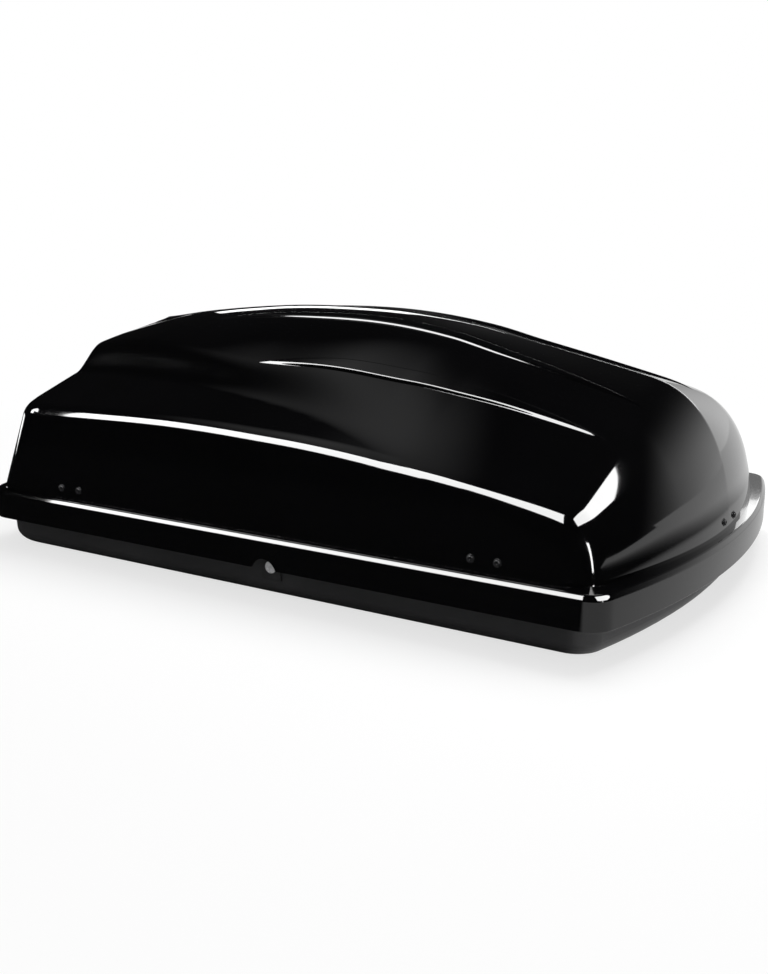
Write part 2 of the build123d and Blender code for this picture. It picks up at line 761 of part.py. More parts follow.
def latch_hook(x):
    """Upright on the bar with a nose that enters the catch's window."""
    stem_x1 = x + catch_offset - latch_travel - 1
    stem_x0 = stem_x1 - 20
    tip = x + catch_offset - 3
    low, high = catch_window
    outline = [(stem_x0, lock_z + bar_rise), (stem_x1, lock_z + bar_rise), (stem_x1, low + 2),
               (tip, low + 2), (tip, high - 4), (tip - 4, high - 2), (stem_x0, high - 2)]
    face = Plane.XZ * make_face(Polyline(*outline, close=True))
    return Pos(0, hook_plane(), 0) * extrude(face, -hook)


def bar_guide(x):
    """Plastic block on the tray's wall that the lock bar slides through."""
    low = lock_z + bar_rise
    block = slab(x - guide_width / 2, x + guide_width / 2, -width / 2, bar_plane() + bar + 4, low - 5,
                 low + bar_height + 5)
    return (block & tray_form(base_wall)) - bar_slab(guide_play, -length, length)


def stay_line():
    """Closed length and direction of a lid stay in its own plane."""
    dy = stay_head[0] - stay_foot[0]
    dz = stay_head[1] - stay_foot[1]
    return math.hypot(dy, dz), dy, dz


def along_stay(x, distance):
    span, dy, dz = stay_line()
    return Vector(x, stay_foot[0] + dy * distance / span, stay_foot[1] + dz * distance / span)


def stay_tube(x):
    tube = rod(along_stay(x, 12), along_stay(x, stay_tube_length), stay_tube_radius)
    tube -= rod(along_stay(x, 20), along_stay(x, stay_tube_length - 5), stay_bore)
    tube -= rod(along_stay(x, 20), along_stay(x, stay_tube_length + 5), stay_rod_radius + stay_play)
    eye = rod(Vector(x - 4, *stay_foot), Vector(x + 4, *stay_foot), stay_tube_radius)
    neck = rod(along_stay(x, 0), along_stay(x, 13), 4)
    pin = rod(Vector(x - 30, *stay_foot), Vector(x + 30, *stay_foot), stay_stud_radius + stay_play)
    return tube + eye + neck - pin


def stay_rod(x):
    span = stay_line()[0]
    hole = stay_stud_radius + stay_head_play
    piston = rod(along_stay(x, 30), along_stay(x, 36), stay_bore - 0.1)
    shaft = rod(along_stay(x, 30), along_stay(x, span - 2 * hole - 3), stay_rod_radius)
    neck = rod(along_stay(x, span - 2 * hole - 4), along_stay(x, span - hole - 1), stay_rod_radius - 1)
    centre = along_stay(x, span)
    eye = rod(centre - Vector(3, 0, 0), centre + Vector(3, 0, 0), hole + 3.5)
    return piston + shaft + neck + eye - rod(centre - Vector(9, 0, 0), centre + Vector(9, 0, 0), hole)


def stud(x, y, z, side, reach, flange_radius, eye_half):
    """Round stud from a plate at x - side * reach, with a collar and a retaining washer round an eye."""
    shaft = rod((x - side * reach, y, z), (x + side * (eye_half + 2), y, z), stay_stud_radius)
    near = x - side * (eye_half + 0.4)
    far = x + side * (eye_half + 0.4)
    collar = rod((near, y, z), (near - side * 1.6, y, z), flange_radius)
    cap = rod((far, y, z), (far + side * 1.6, y, z), flange_radius)
    return shaft + collar + cap


def stay_foot_bracket(x, side):
    y, z = stay_foot
    x_plate = x - side * 14
    x0, x1 = sorted((x_plate, x_plate - side * stay_plate))
    plate = slab(x0, x1, y - 16, y + 16, base_wall, z + 9)
    y0, y1 = y - 16, y + 16
    f0, f1 = sorted((x_plate, x_plate - side * 26))
    foot = slab(f0, f1, y0, y1, base_wall, base_wall + stay_plate)
    return plate + foot + stud(x, y, z, side, 14, 6, 4)


def stay_head_bracket(x, side):
    y, z = stay_head
    x_plate = x - side * 13
    x0, x1 = sorted((x_plate, x_plate - side * stay_plate))
    depth = lid_wall + seat_gap
    plate = slab(x0, x1, y - 12, width / 2, z - 15, z + 15) & wall_prism(depth)
    f0, f1 = sorted((x_plate - side * 5, x_plate + side * 20))
    foot = wall_sheet(1, depth, stay_plate, f0, f1, z - 20, z + 15)
    return plate + foot + stud(x, y, z, side, 13, stay_stud_radius + stay_head_play + 2, 3)


def build():
    """Every node of the box by name."""
    nodes = {"base_tray": base_tray(), "rim_seal": seal(), "lid_shell": lid_shell(),
             "rail_left": rail(1), "rail_right": rail(-1), "rail_rivets": rail_rivet_set(),
             "hinge_rivets": hinge_rivets(), "lock_housing": lock_housing(), "lock_ring": lock_bezel(),
             "lock_cylinder": lock_barrel(), "lock_cam": lock_cam(), "lock_bar": lock_bar(),
             "locator_front": end_locator(True), "locator_rear": end_locator(False)}
    for name, x in hinge_stations.items():
        nodes[f"hinge_leaf_base_{name}"] = hinge_base_leaf(x)
        nodes[f"hinge_leaf_lid_{name}"] = hinge_lid_leaf(x)
        nodes[f"hinge_pin_{name}"] = hinge_pin(x)
    for name, x in guide_stations.items():
        nodes[f"bar_guide_{name}"] = bar_guide(x)
    for name, x in brace_stations.items():
        side = 1 if name == "front" else -1
        plane_x = x + side * stay_plane_offset
        nodes[f"cross_brace_{name}"] = cross_brace(x)
        nodes[f"catch_{name}"] = catch(x)
        nodes[f"latch_hook_{name}"] = latch_hook(x)
        nodes[f"stay_tube_{name}"] = stay_tube(plane_x)
        nodes[f"stay_rod_{name}"] = stay_rod(plane_x)
        nodes[f"stay_foot_{name}"] = stay_foot_bracket(plane_x, side)
        nodes[f"stay_head_{name}"] = stay_head_bracket(plane_x, side)
    for name, group in screw_places().items():
        nodes[f"lid_screws_{name}"] = lid_screws(group)
    return nodes


def main():
    os.makedirs("parts", exist_ok=True)
    for name, shape in build().items():
        if isinstance(shape, list):
            shape = Compound(children=[solid for piece in shape for solid in piece.solids()])
        export_step(shape, f"parts/{name}.step")
        print(name, len(shape.solids()), round(shape.volume / 1000, 1))


if __name__ == "__main__":
    main()
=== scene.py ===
import json
import math

import bmesh
import bpy
import numpy as np
from mathutils import Matrix, Vector


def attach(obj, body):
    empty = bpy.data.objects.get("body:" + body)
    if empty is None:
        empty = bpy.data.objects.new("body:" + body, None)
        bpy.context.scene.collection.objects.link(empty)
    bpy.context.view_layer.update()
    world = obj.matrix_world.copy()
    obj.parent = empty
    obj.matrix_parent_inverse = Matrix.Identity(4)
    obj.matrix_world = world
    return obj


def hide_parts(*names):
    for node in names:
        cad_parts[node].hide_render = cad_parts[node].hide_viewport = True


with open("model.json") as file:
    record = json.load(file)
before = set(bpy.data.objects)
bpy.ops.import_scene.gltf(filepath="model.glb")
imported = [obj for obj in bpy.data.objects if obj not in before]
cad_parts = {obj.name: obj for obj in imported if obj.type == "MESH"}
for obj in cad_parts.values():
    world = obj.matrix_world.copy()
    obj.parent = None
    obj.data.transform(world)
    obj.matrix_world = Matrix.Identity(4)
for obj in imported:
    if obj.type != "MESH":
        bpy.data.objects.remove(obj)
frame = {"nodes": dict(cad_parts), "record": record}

scene = bpy.context.scene
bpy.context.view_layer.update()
print("frame loaded")


# helpers for materials

def newMaterial(name):
    mat = bpy.data.materials.new(name)
    mat.use_nodes = True
    tree = mat.node_tree
    shader = tree.nodes["Principled BSDF"]
    return mat, tree, shader


def noiseNode(tree, scale, detail=4.0, roughness=0.5):
    place = tree.nodes.new("ShaderNodeTexCoord")
    noise = tree.nodes.new("ShaderNodeTexNoise")
    noise.inputs["Scale"].default_value = scale
    noise.inputs["Detail"].default_value = detail
    noise.inputs["Roughness"].default_value = roughness
    tree.links.new(place.outputs["Object"], noise.inputs["Vector"])
    return noise


def rangeNode(tree, source, low, high, fromLow=0.3, fromHigh=0.7):
    fit = tree.nodes.new("ShaderNodeMapRange")
    fit.inputs["From Min"].default_value = fromLow
    fit.inputs["From Max"].default_value = fromHigh
    fit.inputs["To Min"].default_value = low
    fit.inputs["To Max"].default_value = high
    tree.links.new(source, fit.inputs["Value"])
    return fit.outputs["Result"]


def bumpNode(tree, shader, height, strength, distance):
    bump = tree.nodes.new("ShaderNodeBump")
    bump.inputs["Strength"].default_value = strength
    bump.inputs["Distance"].default_value = distance
    tree.links.new(height, bump.inputs["Height"])
    tree.links.new(bump.outputs["Normal"], shader.inputs["Normal"])


def colourNode(tree, shader, source, dark, light, fromLow=0.3, fromHigh=0.7):
    ramp = tree.nodes.new("ShaderNodeValToRGB")
    ramp.color_ramp.elements[0].position = fromLow
    ramp.color_ramp.elements[0].color = (*dark, 1)
    ramp.color_ramp.elements[1].position = fromHigh
    ramp.color_ramp.elements[1].color = (*light, 1)
    tree.links.new(source, ramp.inputs["Fac"])
    tree.links.new(ramp.outputs["Color"], shader.inputs["Base Color"])


# finishes

def glossLid():
    mat, tree, shader = newMaterial("glossBlackSheet")
    shader.inputs["IOR"].default_value = 1.5
    shader.inputs["Coat Weight"].default_value = 0.3
    shader.inputs["Coat Roughness"].default_value = 0.02
    cloud = noiseNode(tree, 3.0, 3.0)
    colourNode(tree, shader, cloud.outputs["Fac"], (0.0012, 0.0012, 0.0014), (0.0019, 0.0019, 0.0022))
    dust = noiseNode(tree, 14.0, 6.0, 0.6)
    tree.links.new(rangeNode(tree, dust.outputs["Fac"], 0.045, 0.075), shader.inputs["Roughness"])
    return mat


def clouded(name, cloud, dark, light, rough, grain=None, metallic=0.0):  # grain: a noise, its strength and distance
    mat, tree, shader = newMaterial(name)
    shader.inputs["Metallic"].default_value = metallic
    fac = noiseNode(tree, *cloud).outputs["Fac"]
    colourNode(tree, shader, fac, dark, light)
    tree.links.new(rangeNode(tree, fac, *rough), shader.inputs["Roughness"])
    if grain:
        noise, strength, distance = grain
        bumpNode(tree, shader, noiseNode(tree, *noise).outputs["Fac"], strength, distance)
    return mat


def metal(name, dark, light, rough, grain=60.0, metallic=1.0):
    return clouded(name, (grain, 5.0, 0.6), dark, light, rough, metallic=metallic)


finish = {
    "lid_gloss": glossLid(),
    "tray_plastic": clouded("grainedTraySheet", (4.0,), (0.026, 0.026, 0.027), (0.034, 0.034, 0.0355), (0.34, 0.46),
                            ((620.0, 3.0, 0.6), 0.35, 0.0009)),
    "trim_plastic": clouded("satinMoulding", (30.0,), (0.022, 0.022, 0.023), (0.030, 0.030, 0.031), (0.28, 0.40),
                            ((1500.0, 2.0), 0.15, 0.0003)),
    "seal_rubber": clouded("sealRubber", (25.0,), (0.010, 0.010, 0.010), (0.018, 0.018, 0.018), (0.6, 0.8)),
    "zinc_steel": metal("zincPlate", (0.46, 0.47, 0.49), (0.62, 0.63, 0.64), (0.28, 0.42)),
    "black_steel": metal("blackPowderCoat", (0.010, 0.010, 0.011), (0.018, 0.018, 0.019), (0.38, 0.5), 400.0, 0.0),
    "screw_black": metal("blackOxide", (0.012, 0.012, 0.013), (0.03, 0.03, 0.032), (0.25, 0.38), 200.0, 0.4),
    "rivet_alloy": metal("rivetAlloy", (0.62, 0.63, 0.64), (0.78, 0.79, 0.80), (0.22, 0.34), 200.0),
    "lock_chrome": metal("lockChrome", (0.60, 0.60, 0.61), (0.74, 0.74, 0.75), (0.24, 0.32), 120.0, 0.35),
}
insideFace = clouded("lidInnerFace", (5.0,), (0.016, 0.016, 0.017), (0.026, 0.026, 0.028), (0.42, 0.55),
                     ((900.0, 2.0), 0.25, 0.0006))

nodeSlots = {part["node"]: part["material_slot"] for part in frame["record"]["subparts"]}
for nodeName, node in frame["nodes"].items():
    node.data.materials.clear()
    node.data.materials.append(finish[nodeSlots[nodeName]])
print("finishes on", len(nodeSlots), "frame nodes")


# lid: one closed sheet, its form worked out like the frame's

lidSet = {
    "length": 1400.0, "width": 900.0, "skirtBottom": 59.0, "rimTop": 115.0, "shelf": 21.0, "sheet": 4.0,
    "rimRound": 5.0, "rimSlope": (36.0, 5.5), "footDrop": 0.04, "footStep": 0.05,
    "frontBow": 74.0, "rearBow": 16.0, "frontCorner": 46.0, "rearCorner": 60.0,
    "sideLean": 8.0, "rearLean": 17.5, "tailCorner": 34.0, "tailCosine": 0.1,
    "shoulderRound": 40.0, "noseCorner": 72.0, "noseFrom": 380.0, "noseOver": 220.0,
    "tailRound": 12.0, "tailFrom": 40.0, "tailOver": 80.0, "shareOver": 60.0, "cosineMost": 0.9,
    "noseTip": 684.0, "noseSweep": 90.0, "fullness": 2.6, "curlStart": 525.0, "curlStartSide": 553.0,
    "shareMost": 1.2, "slopeReach": 6.0, "ledgeSlope": 0.35, "crownBlend": 46.0, "spine": (-420.0, 330.0),
    "notch": (20.0, 50.0, 27.0),
    "crown": [(-700, 372), (-600, 404), (-470, 437), (-281, 458), (-130, 463), (40, 457),
              (189, 437), (289, 408), (433, 364), (576, 322), (660, 297)],
    "crownCurve": [(-700, 0.0004), (-600, 0.0005), (-470, 0.0009), (-281, 0.0013), (-130, 0.0014),
                   (50, 0.00124), (174, 0.00115), (272, 0.0009), (401, 0.0006), (660, 0.0004)],
    "shoulder": [(-700, 274), (-584, 279), (-439, 284), (-267, 288), (-148, 287), (-35, 283), (71, 278),
                 (172, 270), (249, 261), (323, 249), (413, 232), (498, 214), (551, 201), (640, 178)],
    "stepFoot": [(-700, 246), (-476, 250), (-254, 274), (-125, 288), (54, 305), (179, 322),
                 (286, 336), (403, 345), (640, 347)],
    "stepRise": [(-700, 2.2), (-476, 2.1), (-125, 2.1), (54, 1.6), (179, 1.3), (286, 1.1), (403, 0.95), (640, 0.8)],
    "footBlend": [(-700, 24), (-100, 30), (200, 55), (400, 85), (640, 110)],
}
meshSet = {
    "near": 20.0, "far": 900.0, "rimNear": 100.0, "roofFar": 600.0, "halvings": 26,
    "ends": 2000, "sides": 1500, "spacing": 11.0, "bendWindow": 30, "bendWeight": 14.0,
    "notchWindow": 32.0, "notchSpacing": 2.5,
    "tilt": (2.0, 50.0), "tiltHalvings": 10, "tiltLimits": (12, 32), "tiltWindow": 12,
    "top": (89.2, 60, 18), "above": (7, 24), "band": (12, 46), "below": (0.85, 0.7, 0.55, 0.4, 0.28, 0.18, 0.1, 0.05),
    "rimSteps": 7, "skirtTop": 13.0,
    "hem": ((0, 22.0), (0, 1.2), (0, 0.5), (0.35, 0.1), (0.9, 0.0), (3.1, 0.0), (3.65, 0.1), (4, 0.5), (4, 1.2),
            (4, 22.0)),
    "inner": ((1.0, 27, 22), (29, 87, 20)), "innerRim": ((0.0, 3.0), (0.8, 0.6), (3.0, 0.0)),
    "innerFoot": (2.0, 1.5), "normalStep": 0.4, "onFace": 0.2, "insideDepth": 3.5, "shelfEdge": (3, 2.0),
    "weld": 0.00002, "slim": 0.00001,
}
mm = 0.001


def atStation(stations, x):
    xs = np.array([p[0] for p in stations], float)
    vs = np.array([p[1] for p in stations], float)
    last = len(xs) - 1
    slopes = np.array([(vs[min(k + 1, last)] - vs[max(k - 1, 0)]) / (xs[min(k + 1, last)] - xs[max(k - 1, 0)])
                       for k in range(last + 1)])
    k = np.clip(np.searchsorted(xs, x, side="right") - 1, 0, last - 1)
    h = xs[k + 1] - xs[k]
    t = np.clip((x - xs[k]) / h, 0, 1)
    value = ((2 * t**3 - 3 * t**2 + 1) * vs[k] + (t**3 - 2 * t**2 + t) * h * slopes[k]
             + (3 * t**2 - 2 * t**3) * vs[k + 1] + (t**3 - t**2) * h * slopes[k + 1])
    beyond = np.where(x < xs[0], (x - xs[0]) * slopes[0], np.where(x > xs[-1], (x - xs[-1]) * slopes[-1], 0.0))
    return value + beyond


def softMin(a, b, blend):
    return np.minimum(a, b) - np.maximum(blend - np.abs(a - b), 0) ** 2 / (4 * blend)


def roundMin(a, b, radius, cosine):  # where two surfaces meet, with a circular rounding between them
    p = ((radius - a) - cosine * (radius - b)) / (1 - cosine**2)
    q = ((radius - b) - cosine * (radius - a)) / (1 - cosine**2)
    away = (radius - a) ** 2 + (radius - b) ** 2 - 2 * (radius - a) * (radius - b) * cosine
    return np.where((p > 0) & (q > 0), radius - np.sqrt(np.maximum(away, 0) / (1 - cosine**2)), np.minimum(a, b))


def sideHalf(z):
    return lidSet["width"] / 2 - lidSet["shelf"] - (z - lidSet["rimTop"]) * math.tan(math.radians(lidSet["sideLean"]))


def roofHeight(x, share):
    edge = atStation(lidSet["shoulder"], x)
    reach = sideHalf(edge)
    across = np.abs(share) * reach
    foot = atStation(lidSet["stepFoot"], x)
    ledge = edge + lidSet["ledgeSlope"] * (reach - across)
    step = edge + lidSet["ledgeSlope"] * (reach - foot) + atStation(lidSet["stepRise"], x) * (foot - across)
    dome = atStation(lidSet["crown"], x) - atStation(lidSet["crownCurve"], x) * across**2
    return -softMin(-ledge, -softMin(dome, step, lidSet["crownBlend"]), atStation(lidSet["footBlend"], x))


def skinLevel(x, y, z):  # 0 on the roof and nose, more inside
    low = lidSet["skirtBottom"]
    most = lidSet["shareMost"]
    share = np.clip(y / sideHalf(np.minimum(z, atStation(lidSet["shoulder"], x))), -most, most)
    start = lidSet["curlStart"] + (lidSet["curlStartSide"] - lidSet["curlStart"]) * share**2
    tip = lidSet["noseTip"] - lidSet["noseSweep"] * share**2
    along = np.maximum(x - start, 0) / (tip - start)
    upwards = np.maximum(z - low, 0) / (roofHeight(x, share) - low)
    return 1 - (along ** lidSet["fullness"] + upwards ** lidSet["fullness"] + 1e-12) ** (1 / lidSet["fullness"])


def lidFaces(x, y, z):  # distance inside the walls and the roof, with how they lean
    level = skinLevel(x, y, z)
    reach = lidSet["slopeReach"]  # wide enough to pass smoothly over the line where the roof's formula changes
    dx = (skinLevel(x + reach, y, z) - skinLevel(x - reach, y, z)) / (2 * reach)
    dy = (skinLevel(x, y + reach, z) - skinLevel(x, y - reach, z)) / (2 * reach)
    dz = (skinLevel(x, y, z + reach) - skinLevel(x, y, z - reach)) / (2 * reach)
    steep = np.sqrt(dx**2 + dy**2 + dz**2) + 1e-9
    skin = level / steep
    lean, back = math.radians(lidSet["sideLean"]), math.radians(lidSet["rearLean"])
    side = (sideHalf(z) - np.abs(y)) * math.cos(lean)
    tailX = lidSet["shelf"] - lidSet["length"] / 2 + (z - lidSet["rimTop"]) * math.tan(back)
    tail = (x - tailX - lidSet["rearBow"] * (y / (lidSet["width"] / 2)) ** 2) * math.cos(back)
    walls = roundMin(side, tail, lidSet["tailCorner"], lidSet["tailCosine"])
    return walls, skin, side, tail, (dx / steep, dy / steep, dz / steep)


def lidDepth(x, y, z):  # distance inside the lid's outer face above the rim
    walls, skin, side, tail, (dx, dy, dz) = lidFaces(x, y, z)
    near = np.clip((x - lidSet["noseFrom"]) / lidSet["noseOver"], 0, 1)
    radius = lidSet["shoulderRound"] + (lidSet["noseCorner"] - lidSet["shoulderRound"]) * near**2 * (3 - 2 * near)
    atTail = np.clip(1 - (tail - side + lidSet["tailFrom"]) / lidSet["tailOver"], 0, 1)
    radius = radius + (lidSet["tailRound"] - radius) * atTail
    lean, back = math.radians(lidSet["sideLean"]), math.radians(lidSet["rearLean"])
    toSide = -dy * np.sign(y) * math.cos(lean) - dz * math.sin(lean)
    toTail = dx * math.cos(back) - dz * math.sin(back)
    share = np.clip(0.5 + (tail - side) / lidSet["shareOver"], 0, 1)
    return roundMin(walls, skin, radius, np.clip(toSide * share + toTail * (1 - share), 0.0, lidSet["cosineMost"]))


def rimDepth(x, y):  # distance inside the rim's outer face, in plan
    half = lidSet["width"] / 2
    bowRadius = (half**2 + lidSet["frontBow"] ** 2) / (2 * lidSet["frontBow"])
    tailRadius = (half**2 + lidSet["rearBow"] ** 2) / (2 * lidSet["rearBow"])
    nose = bowRadius - np.hypot(x - lidSet["length"] / 2 + bowRadius, y)
    tail = tailRadius - np.hypot(x + lidSet["length"] / 2 - tailRadius, y)
    side = half - np.abs(y)
    front = roundMin(side, nose, lidSet["frontCorner"], half / bowRadius)
    return roundMin(front, tail, lidSet["rearCorner"], half / tailRadius)


def castOut(inside, base, heading, near, far):  # how far each ray stays inside
    low = np.full(len(base), float(near))
    high = np.full(len(base), float(far))
    for _ in range(meshSet["halvings"]):
        middle = (low + high) / 2
        keep = inside(base + heading * middle[:, None]) > 0
        low = np.where(keep, middle, low)
        high = np.where(keep, high, middle)
    return base + heading * ((low + high) / 2)[:, None]


def rimAt(base, heading, inset=0.0):
    return castOut(lambda p: rimDepth(p[:, 0], p[:, 1]) - inset, base, heading, meshSet["rimNear"], meshSet["far"])


def levelled(values, window):  # a running mean round a closed line
    wide = np.concatenate([values[-window:], values, values[:window]])
    return np.convolve(wide, np.ones(2 * window + 1) / (2 * window + 1), "valid")


def lidColumns():  # start point and heading of each column, closer together where the form turns fast
    rear, front = lidSet["spine"]
    right, ends, sides = math.pi / 2, meshSet["ends"], meshSet["sides"]
    fine = np.array([(front, angle) for angle in np.linspace(-right, right, ends)[:-1]]
                    + [(x, right) for x in np.linspace(front, rear, sides)[:-1]]
                    + [(rear, angle) for angle in np.linspace(right, 3 * right, ends)[:-1]]
                    + [(x, -right) for x in np.linspace(rear, front, sides)[:-1]])
    base = np.stack([fine[:, 0], np.zeros(len(fine)), np.zeros(len(fine))], 1)
    heading = np.stack([np.cos(fine[:, 1]), np.sin(fine[:, 1]), np.zeros(len(fine))], 1)
    rim = rimAt(base, heading)
    turn = np.roll(rim, -1, 0) - rim
    step = np.linalg.norm(turn, axis=1)
    way = np.arctan2(turn[:, 1], turn[:, 0])
    bend = np.abs(np.angle(np.exp(1j * (np.roll(way, -1) - way))))
    weight = step / meshSet["spacing"] + levelled(bend, meshSet["bendWindow"]) * meshSet["bendWeight"]
    atNotch = (np.abs(rim[:, 0] - lidSet["notch"][0]) < meshSet["notchWindow"]) & (rim[:, 1] < 0)
    weight += np.where(atNotch, step / meshSet["notchSpacing"], 0)
    total = np.concatenate([[0], np.cumsum(weight)])
    count = int(total[-1])
    pick = np.searchsorted(total, np.arange(count) / count * total[-1])
    return base[pick % len(base)], heading[pick % len(base)]


def shoulderTilts(bodyRing, count):  # the tilt at which each column passes the shoulder
    low, high = (np.full(count, limit) for limit in meshSet["tilt"])
    for _ in range(meshSet["tiltHalvings"]):
        middle = (low + high) / 2
        walls, skin = lidFaces(*bodyRing(middle, 0.0).T)[:2]
        low, high = np.where(walls < skin, middle, low), np.where(walls < skin, high, middle)
    return levelled(np.clip(low, *meshSet["tiltLimits"]), meshSet["tiltWindow"])


def rimProfile():  # how far out and down the rim's edge runs: an arc, a slope, an arc
    turn, (lie, span) = lidSet["rimRound"], lidSet["rimSlope"]
    path = [(0.0, lidSet["footDrop"])]

    def arc(start, end):
        angles = np.radians(np.linspace(start, end, meshSet["rimSteps"]))
        for past, angle in zip(angles, angles[1:]):
            out, drop = path[-1]
            path.append((out + turn * (math.cos(angle) - math.cos(past)),
                         drop + turn * (math.sin(past) - math.sin(angle))))

    arc(90, lie)
    out, drop = path[-1]
    path.append((out + span * math.sin(math.radians(lie)), drop + span * math.cos(math.radians(lie))))
    arc(lie, 0)
    return path


def lidRings(base, heading):  # from the ridge down the outer face, round the hem, and up the inner face
    up = np.array([0, 0, 1.0])
    rimTop, inner = lidSet["rimTop"], lidSet["sheet"]
    start = base + up * rimTop

    def bodyRing(degrees, depth):
        tilt = np.radians(np.broadcast_to(degrees, len(base)))[:, None]
        ray = heading * np.cos(tilt) + up * np.sin(tilt)
        return castOut(lambda p: lidDepth(*p.T) - depth, start, ray, meshSet["near"], meshSet["far"])

    def rimRing(inset, z):
        return rimAt(base, heading, inset) + up * (z if np.ndim(z) == 0 else z[:, None])

    shoulder = shoulderTilts(bodyRing, len(base))
    (over, aboveCount), (band, bandCount) = meshSet["above"], meshSet["band"]
    topEnd = meshSet["top"][1]
    levels = [tilt + 0 * shoulder for tilt in np.linspace(*meshSet["top"])]
    levels += [topEnd + (shoulder + over - topEnd) * part for part in np.linspace(0, 1, aboveCount)[1:]]
    levels += [shoulder + over - band * part for part in np.linspace(0, 1, bandCount)[1:]]
    levels += [(shoulder + over - band) * part for part in meshSet["below"]]
    ridge = castOut(lambda p: lidDepth(*p.T), start, np.tile(up, (len(base), 1)), meshSet["near"], meshSet["roofFar"])
    foot = bodyRing(0.0, 0.0)
    rings = [ridge] + [bodyRing(tilt, 0.0) for tilt in levels]
    rings += [foot, foot + heading * lidSet["footStep"] - up * lidSet["footDrop"]]
    profile = rimProfile()
    rings += [rimRing(profile[-1][0] - out, rimTop - drop) for out, drop in profile]

    centreX, centreZ, radius = lidSet["notch"]
    edge = rimRing(0.0, 0.0)
    rise = np.sqrt(np.maximum(radius**2 - (edge[:, 0] - centreX) ** 2, 0)) + centreZ
    atNotch = (edge[:, 1] < 0) & (np.abs(edge[:, 0] - centreX) < radius)
    hem = np.where(atNotch, np.maximum(rise, lidSet["skirtBottom"]), lidSet["skirtBottom"])
    rings += [rimRing(float(inset), np.minimum(hem + height, rimTop - meshSet["skirtTop"]))
              for inset, height in meshSet["hem"]]

    rings += [rimRing(inner + inset, rimTop - inner - drop) for inset, drop in meshSet["innerRim"]]
    footOut, footRise = meshSet["innerFoot"]
    innerFoot = bodyRing(0.0, inner)
    rings += [innerFoot + heading * footOut - up * inner, innerFoot - up * (inner - footRise)]
    rings += [bodyRing(tilt, inner) for limits in meshSet["inner"] for tilt in np.linspace(*limits)]
    return rings + [ridge - up * inner]


def surfaceNormals(points):
    steps = np.eye(3) * meshSet["normalStep"]
    fall = [lidDepth(*(points - step).T) - lidDepth(*(points + step).T) for step in steps]
    found = np.stack(fall, 1)
    return found / np.linalg.norm(found, axis=1)[:, None]


def closedMesh(name, points, faces):
    mesh = bpy.data.meshes.new(name)
    mesh.from_pydata((points * mm).tolist(), [], faces)
    bm = bmesh.new()
    bm.from_mesh(mesh)
    bmesh.ops.remove_doubles(bm, verts=bm.verts, dist=meshSet["weld"])
    bmesh.ops.dissolve_degenerate(bm, edges=bm.edges, dist=meshSet["slim"])
    loose = [e for e in bm.edges if len(e.link_faces) == 1]
    if loose:
        bmesh.ops.holes_fill(bm, edges=loose, sides=0)
    bmesh.ops.recalc_face_normals(bm, faces=bm.faces)
    for face in bm.faces:
        face.smooth = True
    bm.to_mesh(mesh)
    bm.free()
    return mesh, len(loose)


def makeLid():
    base, heading = lidColumns()
    rings = lidRings(base, heading)
    n = len(base)
    faces = [(r * n + c, (r + 1) * n + c, (r + 1) * n + (c + 1) % n, r * n + (c + 1) % n)
             for r in range(len(rings) - 1) for c in range(n)]
    mesh, filled = closedMesh("lidSheet", np.concatenate(rings), faces)
    obj = bpy.data.objects.new("lidSheet", mesh)
    scene.collection.objects.link(obj)
    mesh.materials.append(finish["lid_gloss"])
    mesh.materials.append(insideFace)

    where = np.zeros(len(mesh.vertices) * 3)
    mesh.vertices.foreach_get("co", where)
    where = where.reshape(-1, 3) / mm
    x, y, z = where.T
    rimTop, hair = lidSet["rimTop"], 0.01
    depth = lidDepth(x, y, z)
    outside = (np.abs(depth) < meshSet["onFace"]) & (z > rimTop - hair)
    normals = np.zeros_like(where)
    normals[outside] = surfaceNormals(where[outside])
    normals[np.abs(z - rimTop + lidSet["footDrop"]) < hair] = (0, 0, 1)
    mesh.normals_split_custom_set_from_vertices(normals.tolist())
    outward = mesh.attributes.new("outward", "FLOAT_VECTOR", "POINT")  # the ribs stand along it
    outward.data.foreach_set("vector", normals.ravel())

    deep, (edge, lip) = meshSet["insideDepth"], meshSet["shelfEdge"]
    hidden = np.where(z > rimTop + hair, depth > deep, rimDepth(x, y) > deep)
    hidden &= ~((np.abs(z - rimTop) < edge) & (z >= rimTop - lip))
    for polygon in mesh.polygons:
        if all(hidden[v] for v in polygon.vertices):
            polygon.material_index = 1
    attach(obj, "lid")
    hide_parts("lid_shell")
    print("lid sheet:", n, "columns,", len(mesh.polygons), "faces, edges closed up", filled)
    return obj


lidSheet = makeLid()


# node trees for what follows the lid or repeats, and for light

def addNode(tree, kind, links=None, **settings):
    node = tree.nodes.new(kind)
    for label, value in settings.items():
        setattr(node, label, value)
    for label, value in (links or {}).items():
        named = [k for k in node.inputs if k.enabled and k.name == label]
        socket = named[0] if isinstance(label, str) else node.inputs[label]
        if isinstance(value, bpy.types.NodeSocket):
            tree.links.new(value, socket)
        else:
            socket.default_value = value
    return node


def worked(tree, operation, *values):
    return addNode(tree, "ShaderNodeMath", dict(enumerate(values)), operation=operation).outputs[0]


def aimed(tree, operation, *values):
    return addNode(tree, "ShaderNodeVectorMath", dict(enumerate(values)), operation=operation).outputs[0]


def stretched(tree, vector, factor):
    return addNode(tree, "ShaderNodeVectorMath", {0: vector, 3: factor}, operation="SCALE").outputs[0]


def newTree(name, sockets):
    tree = bpy.data.node_groups.new(name, "GeometryNodeTree")
    tree.interface.new_socket("Geometry", in_out="INPUT", socket_type="NodeSocketGeometry")
    for label, kind in sockets.items():
        tree.interface.new_socket(label, in_out="INPUT", socket_type="NodeSocket" + kind)
    tree.interface.new_socket("Geometry", in_out="OUTPUT", socket_type="NodeSocketGeometry")
    return tree, tree.nodes.new("NodeGroupInput").outputs


